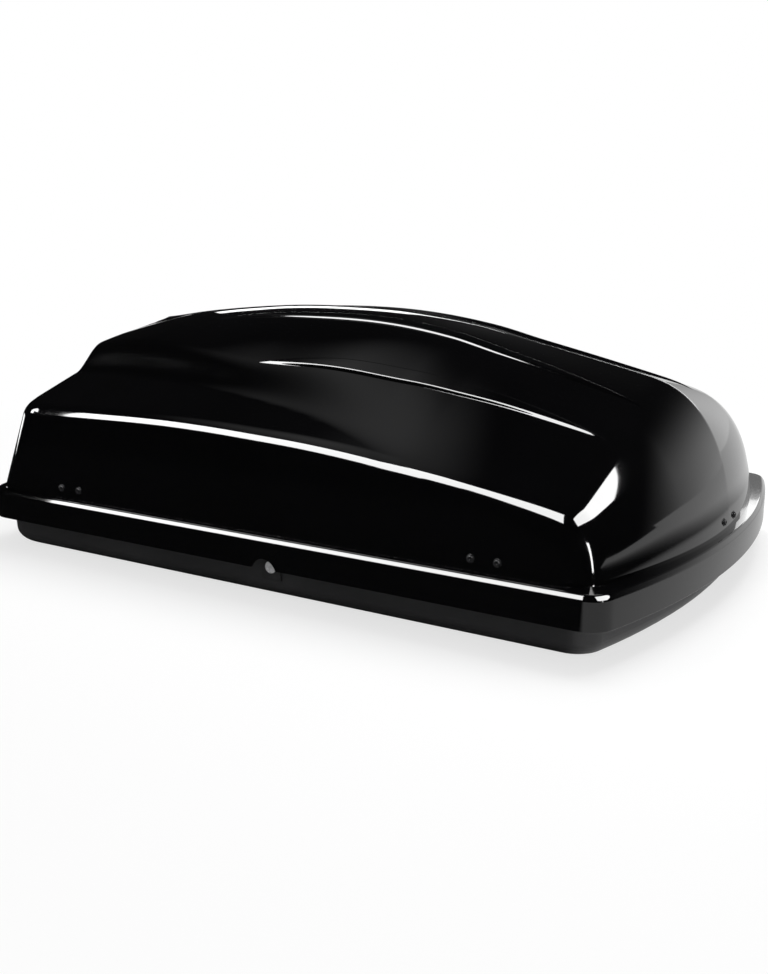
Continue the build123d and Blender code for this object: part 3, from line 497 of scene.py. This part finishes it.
def endTree(tree, geometry, finishSocket):
    real = addNode(tree, "GeometryNodeRealizeInstances", {"Geometry": geometry})
    painted = addNode(tree, "GeometryNodeSetMaterial", {"Geometry": real.outputs[0], "Material": finishSocket})
    tree.links.new(painted.outputs[0], tree.nodes.new("NodeGroupOutput").inputs[0])
    return tree


def grow(tree, startMesh, values):
    holder = bpy.data.objects.new("growStart", startMesh)
    scene.collection.objects.link(holder)
    modifier = holder.modifiers.new("grow", "NODES")
    modifier.node_group = tree
    sockets = {item.name: item.identifier for item in tree.interface.items_tree if item.in_out == "INPUT"}
    for label, value in values.items():
        modifier[sockets[label]] = value
    mesh = bpy.data.meshes.new_from_object(holder.evaluated_get(bpy.context.evaluated_depsgraph_get()))
    holder.modifiers.remove(modifier)
    bpy.data.objects.remove(holder)
    return mesh


def joined(name, meshes):
    bm = bmesh.new()
    for mesh in meshes:
        bm.from_mesh(mesh)
    whole = bpy.data.meshes.new(name)
    bm.to_mesh(whole)
    bm.free()
    for material in meshes[0].materials:
        whole.materials.append(material)
    obj = bpy.data.objects.new(name, whole)
    scene.collection.objects.link(obj)
    return obj


ribSet = {"outer": ((-0.150, 0.247), (0.565, 0.254), -0.004), "inner": ((-0.370, 0.117), (0.590, 0.127), 0.022),
          "width": 0.036, "rise": 0.0055, "flank": 0.0075, "sunk": 0.0008, "along": 260, "across": 65,
          "pointed": 0.7, "fading": 0.35, "weld": 0.00003, "above": 1.0, "cast": 3.0}


def ribTree(s):  # a pointed leaf laid on the sheet, its edges rising steeply to a nearly flat top
    tree, given = newTree("leafRib", {
        "Sheet": "Object", "Start": "Vector", "End": "Vector", "Width": "Float", "Rise": "Float", "Flank": "Float",
        "Sunk": "Float", "Along": "Int", "Bow": "Float", "Across": "Int", "Finish": "Material"})
    grid = addNode(tree, "GeometryNodeMeshGrid", {"Size X": 1.0, "Size Y": 2.0, "Vertices X": given["Along"],
                                                  "Vertices Y": given["Across"]})
    flat = addNode(tree, "ShaderNodeSeparateXYZ", {0: addNode(tree, "GeometryNodeInputPosition").outputs[0]}).outputs
    along = worked(tree, "ADD", flat[0], 0.5)
    arch = worked(tree, "MULTIPLY", worked(tree, "MULTIPLY", along, 4.0), worked(tree, "SUBTRACT", 1.0, along))
    arch = worked(tree, "MAXIMUM", arch, 0.0)
    half = worked(tree, "MULTIPLY", given["Width"], 0.5)
    half = worked(tree, "MULTIPLY", half, worked(tree, "POWER", arch, s["pointed"]))
    course = aimed(tree, "SUBTRACT", given["End"], given["Start"])
    aside = aimed(tree, "NORMALIZE", aimed(tree, "CROSS_PRODUCT", (0.0, 0.0, 1.0), course))
    plan = aimed(tree, "ADD", given["Start"], stretched(tree, course, along))
    across = worked(tree, "MULTIPLY", worked(tree, "ADD", flat[1], 1.0), half)
    across = worked(tree, "ADD", across, worked(tree, "MULTIPLY", given["Bow"], arch))
    plan = aimed(tree, "ADD", plan, stretched(tree, aside, across))
    sheet = addNode(tree, "GeometryNodeObjectInfo", {"Object": given["Sheet"]}, transform_space="RELATIVE")
    outward = addNode(tree, "GeometryNodeInputNamedAttribute", {"Name": "outward"}, data_type="FLOAT_VECTOR")
    cast = addNode(tree, "GeometryNodeRaycast", {
        "Target Geometry": sheet.outputs["Geometry"], "Attribute": outward.outputs[0], "Source Position": plan,
        "Ray Direction": (0.0, 0.0, -1.0), "Ray Length": s["cast"]}, data_type="FLOAT_VECTOR", mapping="INTERPOLATED")
    normal = [k for k in cast.outputs if k.enabled and k.name == "Attribute"][0]
    inward = worked(tree, "MULTIPLY", worked(tree, "SUBTRACT", 1.0, worked(tree, "ABSOLUTE", flat[1])), half)
    flank = addNode(tree, "ShaderNodeMapRange", {"Value": inward, "From Min": 0.0, "From Max": given["Flank"],
                                                 "To Min": 0.0, "To Max": 1.0}, interpolation_type="SMOOTHSTEP")
    lift = worked(tree, "MULTIPLY", worked(tree, "MULTIPLY", flank.outputs[0], given["Rise"]),
                  worked(tree, "POWER", arch, s["fading"]))
    lift = worked(tree, "SUBTRACT", lift, given["Sunk"])
    laid = aimed(tree, "ADD", cast.outputs["Hit Position"], stretched(tree, aimed(tree, "NORMALIZE", normal), lift))
    placed = addNode(tree, "GeometryNodeSetPosition", {"Geometry": grid.outputs["Mesh"], "Position": laid})
    merged = addNode(tree, "GeometryNodeMergeByDistance", {"Geometry": placed.outputs[0], "Distance": s["weld"]})
    smooth = addNode(tree, "GeometryNodeSetShadeSmooth", {"Geometry": merged.outputs[0]})
    return endTree(tree, smooth.outputs[0], given["Finish"])


def makeRibs(s):
    tree = ribTree(s)
    meshes = []
    for which in ("outer", "inner"):
        for side in (-1, 1):
            rear, front, bow = s[which]
            start, end = (front, rear) if side > 0 else (rear, front)
            meshes.append(grow(tree, bpy.data.meshes.new("start"), {
                "Sheet": lidSheet, "Start": (start[0], side * start[1], s["above"]),
                "End": (end[0], side * end[1], s["above"]),
                "Width": s["width"], "Rise": s["rise"], "Flank": s["flank"], "Sunk": s["sunk"], "Along": s["along"],
                "Bow": bow, "Across": s["across"], "Finish": finish["lid_gloss"]}))
    obj = joined("lidRibs", meshes)
    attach(obj, "lid")
    print("ribs:", len(obj.data.polygons), "faces")
    return obj


makeRibs(ribSet)


# screws and rivets: a turned head set on every place by one tree

def studTree():
    tree, given = newTree("studsInPlaces", {"Head": "Object", "Size": "Float", "Finish": "Material"})
    aim = addNode(tree, "GeometryNodeInputNamedAttribute", {"Name": "aim"}, data_type="FLOAT_VECTOR")
    turn = addNode(tree, "FunctionNodeAlignRotationToVector", {"Vector": aim.outputs[0]}, axis="Z")
    head = addNode(tree, "GeometryNodeObjectInfo", {"Object": given["Head"], "As Instance": True},
                   transform_space="ORIGINAL")
    size = addNode(tree, "ShaderNodeCombineXYZ", {0: given["Size"], 1: given["Size"], 2: given["Size"]})
    stood = addNode(tree, "GeometryNodeInstanceOnPoints", {
        "Points": given["Geometry"], "Instance": head.outputs["Geometry"], "Rotation": turn.outputs[0],
        "Scale": size.outputs[0]})
    return endTree(tree, stood.outputs[0], given["Finish"])


def turned(name, rows, around=48, crease=38.0, weld=0.000001):  # rows of radius, height and sides, six for a hexagon
    points = []
    for radius, height, sides in rows:
        for k in range(around):
            angle = 2 * math.pi * k / around
            reach = radius
            if sides:
                wedge = 2 * math.pi / sides
                reach = radius * math.cos(wedge / 2) / math.cos(angle % wedge - wedge / 2)
            points.append((reach * mm * math.cos(angle), reach * mm * math.sin(angle), height * mm))
    faces = [(r * around + k, r * around + (k + 1) % around, (r + 1) * around + (k + 1) % around, (r + 1) * around + k)
             for r in range(len(rows) - 1) for k in range(around)]
    mesh = bpy.data.meshes.new(name)
    mesh.from_pydata(points, [], faces)
    bm = bmesh.new()
    bm.from_mesh(mesh)
    bmesh.ops.remove_doubles(bm, verts=bm.verts, dist=weld)
    bmesh.ops.recalc_face_normals(bm, faces=bm.faces)
    for face in bm.faces:
        face.smooth = True
    for edge in bm.edges:
        if len(edge.link_faces) == 2 and edge.calc_face_angle() > math.radians(crease):
            edge.smooth = False
    bm.to_mesh(mesh)
    bm.free()
    obj = bpy.data.objects.new(name, mesh)
    scene.collection.objects.link(obj)
    return obj


screwSet = {
    "head": [(0, -3.9, 0), (2.5, -3.9, 0), (2.5, 0, 0), (7.0, 0, 0), (7.0, 0.8, 0), (6.9, 1.05, 0), (6.6, 1.2, 0),
             (5.1, 1.2, 0), (5.0, 1.3, 0), (5.0, 2.5, 0), (4.85, 3.1, 0), (4.4, 3.6, 0), (3.7, 3.9, 0), (2.9, 4.0, 0),
             (2.55, 3.9, 6), (2.45, 3.7, 6), (2.4, 2.0, 6), (2.2, 1.9, 6), (0, 1.6, 0)],
    "nut": [(0, 6.2, 0), (2.5, 6.2, 0), (2.5, 0, 0), (4.55, 0, 6), (4.6, -0.2, 6), (4.6, -2.9, 6), (4.2, -3.4, 0),
            (3.6, -3.5, 0), (2.6, -3.5, 0), (2.5, -4.1, 0), (2.1, -4.5, 0), (0, -4.5, 0)],
    "height": 134.0, "spacing": 23.0, "braces": (-463.0, 429.0), "leaves": (-320.0, 10.0, 340.0), "leafSpacing": 18.0,
    "endSpacing": 28.0, "flat": 0.35, "stackRight": 9.65, "stackLeft": 7.15, "stackLeaf": 6.65, "stackEnd": 5.95,
    "reach": 700.0, "halvings": 40,
}
rivetSet = {
    "hinge": [(0, -4.0, 0), (2.5, -4.0, 0), (2.5, 0, 0), (4.5, 0, 0), (4.45, 0.4, 0), (4.1, 0.85, 0), (3.3, 1.2, 0),
              (2.1, 1.43, 0), (0, 1.5, 0)],
    "rail": [(0, -6.5, 0), (2.7, -6.5, 0), (3.0, -6.2, 0), (3.0, 0, 0), (6.0, 0, 0), (5.9, 0.6, 0), (5.3, 1.2, 0),
             (4.2, 1.65, 0), (2.6, 1.92, 0), (0, 2.0, 0)],
    "hingePlaces": [(x + d, 418.0) for x in (-320.0, 10.0, 340.0) for d in (-18.0, 18.0)], "hingeTop": 100.5,
    "hingeUnder": 94.0, "railPlaces": [(x, y) for x in (-410.0, -205.0, 0.0, 205.0, 410.0) for y in (-300.0, 300.0)],
    "railTop": 6.5,
}


def places(spots, behind=False):  # a mesh of single points, each with the way it faces
    mesh = bpy.data.meshes.new("places")
    at = [(np.array(point) - np.array(way) * (stack if behind else 0.0)) * mm for point, way, stack in spots]
    mesh.from_pydata([tuple(p) for p in at], [], [])
    aim = mesh.attributes.new("aim", "FLOAT_VECTOR", "POINT")
    aim.data.foreach_set("vector", np.array([way for _, way, _ in spots], float).ravel())
    return mesh


def endPlace(s, y, way):  # where the screws' height meets the nose or tail wall
    low, high = 0.0, s["reach"]
    for _ in range(s["halvings"]):
        middle = (low + high) / 2
        inside = lidDepth(np.array([way * middle]), np.array([y]), np.array([s["height"]]))[0] > 0
        low, high = (middle, high) if inside else (low, middle)
    point = np.array([[way * low, y, s["height"]]])
    normal = surfaceNormals(point)[0]
    return point[0] - normal * s["flat"], normal


def screwSpots(s):
    lean = math.radians(lidSet["sideLean"])
    half = sideHalf(s["height"])
    spots = {"right": [], "left": [], "nose": [], "tail": []}
    rows = (("right", -1, "braces", "spacing", "stackRight"), ("left", 1, "braces", "spacing", "stackLeft"),
            ("left", 1, "leaves", "leafSpacing", "stackLeaf"))
    for group, side, stations, spacing, stack in rows:
        facing = (0, side * math.cos(lean), math.sin(lean))
        for x in s[stations]:
            for d in (-s[spacing], s[spacing]):
                spots[group].append(((x + d, side * half, s["height"]), facing, s[stack]))
    for y in (-s["endSpacing"], s["endSpacing"]):
        for group, way in (("nose", 1), ("tail", -1)):
            point, normal = endPlace(s, y, way)
            spots[group].append((point, normal, s["stackEnd"]))
    return spots


def makeFasteners(screws, rivets):
    tree = studTree()
    heads = {"screw": turned("screwHead", screws["head"]), "nut": turned("screwNut", screws["nut"]),
             "hinge": turned("hingeRivet", rivets["hinge"]), "rail": turned("railRivet", rivets["rail"])}
    black, alloy = finish["screw_black"], finish["rivet_alloy"]
    for group, spots in screwSpots(screws).items():
        parts = [grow(tree, places(spots), {"Head": heads["screw"], "Size": 1.0, "Finish": black}),
                 grow(tree, places(spots, behind=True), {"Head": heads["nut"], "Size": 1.0, "Finish": black})]
        obj = joined("lidScrews" + group.capitalize(), parts)
        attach(obj, "lid")
        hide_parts("lid_screws_" + group)
    up, down = (0, 0, 1), (0, 0, -1)
    sets = {"hinge_rivets": [((x, y, rivets["hingeTop"]), up, 0) for x, y in rivets["hingePlaces"]]
            + [((x, y, rivets["hingeUnder"]), down, 0) for x, y in rivets["hingePlaces"]],
            "rail_rivets": [((x, y, rivets["railTop"]), up, 0) for x, y in rivets["railPlaces"]]}
    for node, spots in sets.items():
        head = heads[node.split("_")[0]]
        mesh = grow(tree, places(spots), {"Head": head, "Size": 1.0, "Finish": alloy})
        obj = joined(node.replace("_rivets", "RivetHeads"), [mesh])
        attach(obj, "base")
        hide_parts(node)
    for head in heads.values():
        bpy.data.objects.remove(head)
    print("screws and rivets set")


makeFasteners(screwSet, rivetSet)


# camera

cameraSet = {"place": (1.1939, -1.9287, 0.6700), "yaw": 122.13, "pitch": -14.0, "roll": -0.49, "lens": 54.03,
             "sensor": 36.0, "far": 60.0}


def makeCamera(s):
    cam = bpy.data.cameras.new("camera")
    cam.sensor_fit = "HORIZONTAL"
    cam.sensor_width = s["sensor"]
    cam.lens = s["lens"]
    cam.clip_end = s["far"]
    obj = bpy.data.objects.new("camera", cam)
    scene.collection.objects.link(obj)
    yaw, pitch, roll = (math.radians(s[k]) for k in ("yaw", "pitch", "roll"))
    ahead = Vector((math.cos(pitch) * math.cos(yaw), math.cos(pitch) * math.sin(yaw), math.sin(pitch)))
    right = Vector((math.sin(yaw), -math.cos(yaw), 0))
    up = right.cross(ahead)
    tiltedRight = right * math.cos(roll) + up * math.sin(roll)
    tiltedUp = up * math.cos(roll) - right * math.sin(roll)
    turn = Matrix((tiltedRight, tiltedUp, -ahead)).transposed().to_4x4()
    obj.matrix_world = Matrix.Translation(s["place"]) @ turn
    scene.camera = obj
    return obj


makeCamera(cameraSet)
print("camera placed")


# floor, world and lamps

def seenOrThrough(tree):
    path = tree.nodes.new("ShaderNodeLightPath")
    return path, worked(tree, "MAXIMUM", path.outputs["Is Camera Ray"], path.outputs["Is Transmission Ray"])


def softStep(tree, source, fromLow, fromHigh, low=0.0, high=1.0):
    fit = tree.nodes.new("ShaderNodeMapRange")
    fit.interpolation_type = "SMOOTHSTEP"
    for label, value in (("From Min", fromLow), ("From Max", fromHigh), ("To Min", low), ("To Max", high)):
        fit.inputs[label].default_value = value
    tree.links.new(source, fit.inputs["Value"])
    return fit.outputs["Result"]


def axisOf(tree, output, axis):
    place = tree.nodes.new("ShaderNodeTexCoord")
    split = tree.nodes.new("ShaderNodeSeparateXYZ")
    tree.links.new(place.outputs[output], split.inputs[0])
    return split.outputs[axis]


# near, front, side, ahead, beyond and last set a painted reflection: the floor glows only for mirror rays, nearly black
# on the camera side and brighter ahead of the nose and beyond the far side
floorSet = {"size": 14.0, "below": 0.0005, "grey": 0.86, "rough": 0.9, "keep": 0.3, "fade": (0.9, 2.1),
            "near": 0.012, "front": 0.6, "side": 0.8, "ahead": (0.55, 0.62), "beyond": (0.2, 1.3), "last": (1.12, 1.35)}


def makeFloor(s):
    size = s["size"]
    mesh = bpy.data.meshes.new("studioFloor")
    mesh.from_pydata([(-size, -size, 0), (size, -size, 0), (size, size, 0), (-size, size, 0)], [], [(0, 1, 2, 3)])
    obj = bpy.data.objects.new("studioFloor", mesh)
    obj.location.z = -s["below"]
    scene.collection.objects.link(obj)
    mat, tree, shader = newMaterial("paleFloorPaintedReflectionGlow")
    shader.inputs["Base Color"].default_value = (s["grey"], s["grey"], s["grey"], 1)
    shader.inputs["Roughness"].default_value = s["rough"]
    shader.inputs["Specular IOR Level"].default_value = 0.1
    path, seen = seenOrThrough(tree)
    out = tree.nodes["Material Output"]
    place = tree.nodes.new("ShaderNodeTexCoord")
    reach = addNode(tree, "ShaderNodeVectorMath", {0: place.outputs["Object"]}, operation="LENGTH").outputs["Value"]
    plain = softStep(tree, reach, *s["fade"], 1 - s["keep"], 1.0)
    # painted reflection: what mirrors see of the floor is a glow, dark on the camera side, brighter towards the nose
    # within about 1.3 m and towards the far side
    ahead = softStep(tree, axisOf(tree, "Object", 0), *s["ahead"], s["near"], s["front"])
    ahead = worked(tree, "MULTIPLY", ahead, softStep(tree, reach, *s["last"], 1.0, s["near"]))
    beyond = softStep(tree, axisOf(tree, "Object", 1), *s["beyond"], s["near"], s["side"])
    last = shader.outputs[0]
    # the first mix keeps the floor evenly white to the camera and lets its real shadow through near the object; the
    # second paints the mirror-only glow
    for share, strength in ((worked(tree, "MULTIPLY", seen, plain), 1.0),
                            (path.outputs["Is Glossy Ray"], worked(tree, "MAXIMUM", ahead, beyond))):
        glow = addNode(tree, "ShaderNodeEmission", {"Strength": strength})
        last = addNode(tree, "ShaderNodeMixShader", {0: share, 1: last, 2: glow.outputs[0]}).outputs[0]
    tree.links.new(last, out.inputs["Surface"])
    mesh.materials.append(mat)
    return obj


worldSet = {"seen": 1.0, "light": 0.5, "dark": 0.005, "overhead": 0.42, "overheadFrom": (0.70, 0.93),
            "overheadAt": (-0.25, -0.55), "band": (0.65, 0.15), "farSide": (0.5, 1.0), "noseward": (-0.5, 0.1)}


def makeWorld(s):
    world = bpy.data.worlds.new("studio")
    world.use_nodes = True
    scene.world = world
    tree = world.node_tree
    sky = tree.nodes["Background"]
    sky.inputs["Color"].default_value = (1, 1, 1, 1)
    path, seen = seenOrThrough(tree)
    height = axisOf(tree, "Generated", 2)
    tailwards = softStep(tree, axisOf(tree, "Generated", 0), *s["overheadAt"], 0.0, s["overhead"])
    overhead = worked(tree, "MULTIPLY", softStep(tree, height, *s["overheadFrom"]), tailwards)
    farSide = softStep(tree, axisOf(tree, "Generated", 1), *s["farSide"])
    band = worked(tree, "MULTIPLY", softStep(tree, height, *s["band"]), farSide)
    band = worked(tree, "MULTIPLY", band, softStep(tree, axisOf(tree, "Generated", 0), *s["noseward"]))
    mirrored = worked(tree, "ADD", worked(tree, "ADD", overhead, s["dark"]), band)
    last = s["light"]
    for share, strength in ((path.outputs["Is Glossy Ray"], mirrored), (seen, s["seen"])):
        last = addNode(tree, "ShaderNodeMix", {"Factor": share, "A": last, "B": strength}).outputs["Result"]
    tree.links.new(last, sky.inputs["Strength"])


lampSet = {
    "key": {"place": (0.3, 0.9, 2.8), "aim": (0, 0, 0.2), "size": (2.4, 1.4), "watts": 92.0, "mirrored": False},
    "crease": {"place": (-1.2, -1.6, 1.9), "aim": (-1.2, -0.1, 0.2), "size": (3.1, 0.95), "watts": 155.0},
    "behind": {"place": (-0.9, 3.2, 1.12), "aim": (-0.1, 0, 0.15), "size": (4.2, 0.36), "watts": 14.0},
    "corner": {"place": (2.1, -0.4, 1.9), "aim": (0.6, -0.4, 0.2), "size": (1.9, 1.15), "watts": 115.0},
    "upright": {"place": (3.0, -1.3, 0.5), "aim": (0.6, -0.4, 0.2), "size": (0.22, 0.7), "watts": 10.0},
    "tail": {"place": (-3.2, -0.6, 0.4), "aim": (-0.6, -0.4, 0.2), "size": (0.9, 0.5), "watts": 9.0},
}


def makeLamp(name, s):
    lamp = bpy.data.lights.new(name, "AREA")
    lamp.shape = "RECTANGLE"
    lamp.size, lamp.size_y = s["size"]
    lamp.energy = s["watts"]
    obj = bpy.data.objects.new(name, lamp)
    scene.collection.objects.link(obj)
    obj.visible_glossy = s.get("mirrored", True)
    obj.visible_diffuse = not obj.visible_glossy
    back = (Vector(s["place"]) - Vector(s["aim"])).normalized()
    obj.matrix_world = Matrix.Translation(s["place"]) @ back.to_track_quat("Z", "Y").to_matrix().to_4x4()
    return obj


makeFloor(floorSet)
makeWorld(worldSet)
for lampName, lampFacts in lampSet.items():
    makeLamp(lampName, lampFacts)
scene.view_settings.view_transform = "Standard"
print("studio lit")
